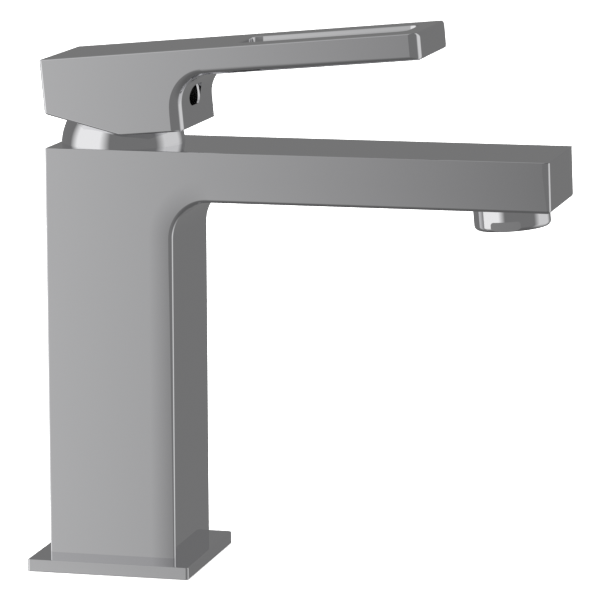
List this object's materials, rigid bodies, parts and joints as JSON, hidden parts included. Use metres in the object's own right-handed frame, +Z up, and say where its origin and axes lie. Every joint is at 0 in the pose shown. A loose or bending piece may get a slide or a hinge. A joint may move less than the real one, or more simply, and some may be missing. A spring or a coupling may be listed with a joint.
{
  "type": "single-lever basin mixer",
  "caption": "Square single-lever basin mixer in chrome: square column on a thin plate, flat cantilevered spout with a round aerator, dome collar and a flat slotted lever.",
  "frame": {"origin": "centre of the base plate's underside on the column's axis, at deck level", "axes": "+Z up, +X along the spout towards the outlet, +Y to the left of a spout that points away from the viewer"},
  "size_m": [0.1699, 0.054, 0.1768],
  "materials": {
    "chrome": "polished",
    "brass": "machined",
    "steel": "machined",
    "rubber": "matte",
    "white_plastic": "satin",
    "orange_plastic": "satin",
    "red_plastic": "satin",
    "ceramic": "lapped"
  },
  "bodies": {
    "fixed": {"body": "chrome", "base_plate": "chrome", "base_gasket": "rubber", "plate_o_ring": "rubber", "cartridge_base": "white_plastic", "port_seals": "rubber", "cartridge_housing": "white_plastic", "fixed_disc": "ceramic", "disc_seal": "rubber", "cartridge_nut": "brass", "dome_o_ring": "rubber", "dome_cap": "chrome", "aerator_housing": "chrome", "aerator_washer": "rubber", "aerator_screen": "white_plastic", "aerator_insert": "white_plastic", "flow_straightener": "white_plastic"},
    "rotor": {"spindle_guide": "orange_plastic", "spindle_pin": "steel", "temperature_limit_ring": "red_plastic"},
    "lever": {"handle": "chrome", "spindle": "brass", "set_screw": "steel"},
    "slider": {"disc_carrier": "orange_plastic", "moving_disc": "ceramic"}
  },
  "joints": [
    {"name": "temperature_swivel", "type": "hinge", "parent": "fixed", "child": "rotor", "pos_m": [-0.001, 0, 0.1362], "axis": [0, 0, 1], "range_deg": [-45, 45]},
    {"name": "lever_lift", "type": "hinge", "parent": "rotor", "child": "lever", "pos_m": [-0.001, 0, 0.1362], "axis": [0, -1, 0], "range_deg": [0, 20]},
    {"name": "disc_slide", "type": "slide", "parent": "rotor", "child": "slider", "axis": [1, 0, 0], "range_m": [0, 0.0053]}
  ],
  "couplings": [
    {"joint": "disc_slide", "follows": "lever_lift", "m_per_rad": 0.0149}
  ]
}
